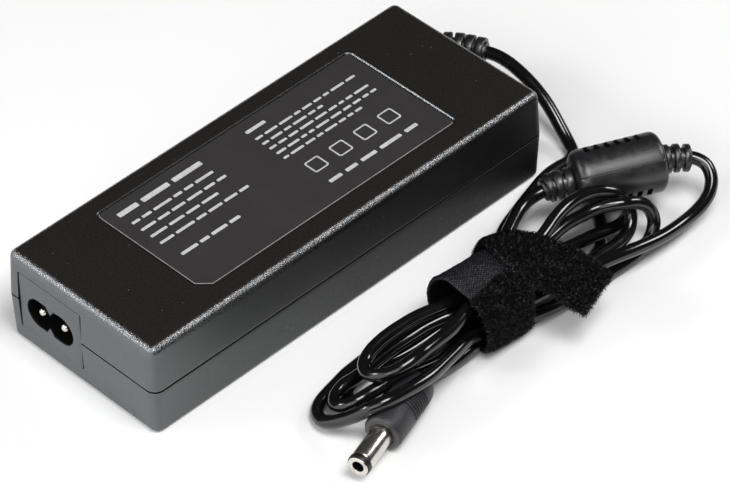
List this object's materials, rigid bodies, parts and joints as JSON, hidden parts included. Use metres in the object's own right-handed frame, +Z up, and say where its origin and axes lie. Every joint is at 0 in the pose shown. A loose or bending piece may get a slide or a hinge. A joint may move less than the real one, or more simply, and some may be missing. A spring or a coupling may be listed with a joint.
{
  "type": "laptop power adapter",
  "caption": "Brick-shaped mains adapter with a two-pole inlet, and a folded output cord with ferrite bead, barrel plug and hook-and-loop strap",
  "frame": {"origin": "middle of the underside of the case, on the surface it stands on; the cord and what is on it are left out", "axes": "+X along the case from the mains inlet to the output cord, +Z up; the folded cord lies on the -Y side"},
  "size_m": [0.1704, 0.1137, 0.0295],
  "materials": {
    "case_black": "fine spark-eroded texture, black",
    "inlet_black": "satin black",
    "label_grey": "satin dark grey film",
    "cord_black": "glossy black cable sheath",
    "mould_black": "satin black overmould",
    "strap_black": "hook-and-loop tape, pile on one side and weave on the other",
    "nickel": "bright nickel plate",
    "aluminium": "mill finish sheet",
    "ferrite_grey": "sintered ferrite",
    "copper": "enamelled copper wire",
    "tape_yellow": "polyester winding tape",
    "board_tan": "paper laminate board",
    "sheet_black": "insulating film",
    "chip_black": "moulded package",
    "can_dark": "sleeved can",
    "box_yellow": "moulded capacitor box",
    "disc_blue": "dipped coating",
    "disc_green": "dipped coating",
    "fuse_white": "ceramic tube",
    "wire_brown": "wire insulation",
    "wire_blue": "wire insulation",
    "wire_red": "wire insulation",
    "wire_black": "wire insulation"
  },
  "bodies": {
    "adapter": {"top_cover": "case_black", "bottom_cover": "case_black", "rating_label": "label_grey", "inlet_housing": "inlet_black", "inlet_pin_left": "nickel", "inlet_pin_right": "nickel", "mains_lead_live": "wire_brown", "mains_lead_neutral": "wire_blue", "circuit_board": "board_tan", "insulating_sheet": "sheet_black", "mains_fuse": "fuse_white", "inrush_thermistor": "disc_green", "line_capacitor": "box_yellow", "line_choke_core": "ferrite_grey", "line_choke_coil": "copper", "bridge_rectifier": "chip_black", "bulk_capacitor": "can_dark", "transformer_core": "ferrite_grey", "transformer_winding": "tape_yellow", "primary_heat_sink": "aluminium", "secondary_heat_sink": "aluminium", "power_transistor": "chip_black", "output_rectifier": "chip_black", "output_capacitor_front": "can_dark", "output_capacitor_rear": "can_dark", "output_choke": "copper", "safety_capacitor": "disc_blue", "optocoupler": "chip_black", "control_chip": "chip_black", "strain_relief": "mould_black", "output_lead_positive": "wire_red", "output_lead_negative": "wire_black", "cord_lead": "cord_black", "cord_rear_loop": "cord_black", "ferrite_overmould": "mould_black", "ferrite_core": "ferrite_grey", "cord_ferrite_loop": "cord_black", "cord_hank": "cord_black", "plug_overmould": "mould_black", "plug_barrel": "nickel", "plug_tip_ring": "mould_black", "plug_inner_contact": "nickel", "cord_plug_lead": "cord_black", "strap_band": "strap_black"},
    "strap_tail": {"strap_tail": "strap_black"}
  },
  "joints": [
    {"name": "strap_peel", "type": "hinge", "parent": "adapter", "child": "strap_tail", "pos_m": [0.0302, -0.051, 0.0202], "axis": [-1, 0, 0], "range_deg": [0, 100]}
  ]
}
